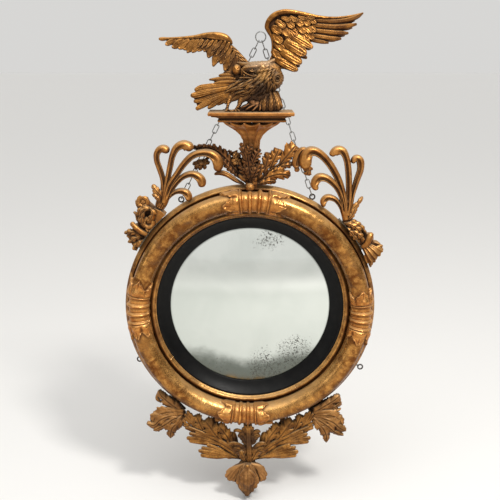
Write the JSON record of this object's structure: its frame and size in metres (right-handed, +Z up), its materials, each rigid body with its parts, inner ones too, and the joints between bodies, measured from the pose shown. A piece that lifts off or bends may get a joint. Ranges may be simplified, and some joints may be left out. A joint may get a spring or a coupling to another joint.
{
  "type": "girandole mirror",
  "caption": "Round convex wall mirror in a carved gilt frame with an eagle on a plinth, scrolled crest, leafy apron and a hanging chain on screw eyes.",
  "frame": {"origin": "ring axis on the flat back, where the backboard meets the wall", "axes": "+Z up to the eagle, +Y into the wall, +X to the viewer's right; the glass faces -Y"},
  "size_m": [0.6285, 0.124, 1.2108],
  "materials": {
    "gilt": "old water gilding over red bole, rubbed and dusty",
    "gilt_dark": "darkened gilding and bronzed recesses",
    "ebonised": "ebonised, satin",
    "mirror_glass": "old silvered convex glass with foxing",
    "pine": "bare aged softwood",
    "iron": "dark forged iron",
    "chain_steel": "dull galvanised wire"
  },
  "bodies": {
    "mirror": {"back_ring_segments": "pine", "front_ring": "gilt", "torus_quarters": "gilt", "sight_bead_segments": "gilt", "ebonised_slip": "ebonised", "mirror_glass": "mirror_glass", "glass_blocks": "pine", "backboard_planks": "pine", "backboard_screws": "iron", "strip_screws": "iron", "screw_eyes_chain": "iron", "screw_eyes_steady": "iron", "clasp_top": "gilt", "clasp_right": "gilt", "clasp_bottom": "gilt", "clasp_left": "gilt", "plinth_tenon": "pine", "plinth_slab": "gilt", "plinth_moulding": "gilt", "plinth_trumpet": "gilt", "eagle_body": "gilt", "wing_dowels": "pine", "eagle_wing_right": "gilt", "eagle_wing_left": "gilt", "eagle_tail": "gilt", "eagle_leg_right": "gilt", "eagle_leg_left": "gilt", "eagle_rock": "gilt_dark", "eagle_ball": "gilt", "crest_strip_left": "iron", "crest_strip_right": "iron", "crest_base_left": "gilt", "crest_base_right": "gilt", "crest_plumes_left": "gilt", "crest_plumes_right": "gilt", "crest_spray_left": "gilt_dark", "crest_spray_right": "gilt", "crest_leaf": "gilt_dark", "crest_bead": "gilt", "apron_tenon": "pine", "apron_leaf": "gilt", "apron_spray_left": "gilt", "apron_spray_right": "gilt", "apron_bud": "gilt", "apron_bead": "gilt", "corner_leaf_left": "gilt", "corner_leaf_right": "gilt", "corner_blocks": "gilt_dark"},
    "chain_left": {"chain_links_left": "chain_steel", "nail_ring": "chain_steel"},
    "chain_right": {"chain_links_right": "chain_steel"}
  },
  "joints": [
    {"name": "chain_left_swing", "type": "hinge", "parent": "mirror", "child": "chain_left", "pos_m": [-0.16275, -0.012, 0.2717], "axis": [-0.9998, 0, -0.0219], "range_deg": [0, 70]},
    {"name": "chain_right_swing", "type": "hinge", "parent": "mirror", "child": "chain_right", "pos_m": [0.14786, -0.012, 0.27851], "axis": [-0.9998, 0, -0.0219], "range_deg": [0, 70]}
  ],
  "couplings": [
    {"joint": "chain_right_swing", "follows": "chain_left_swing", "ratio": 1}
  ]
}
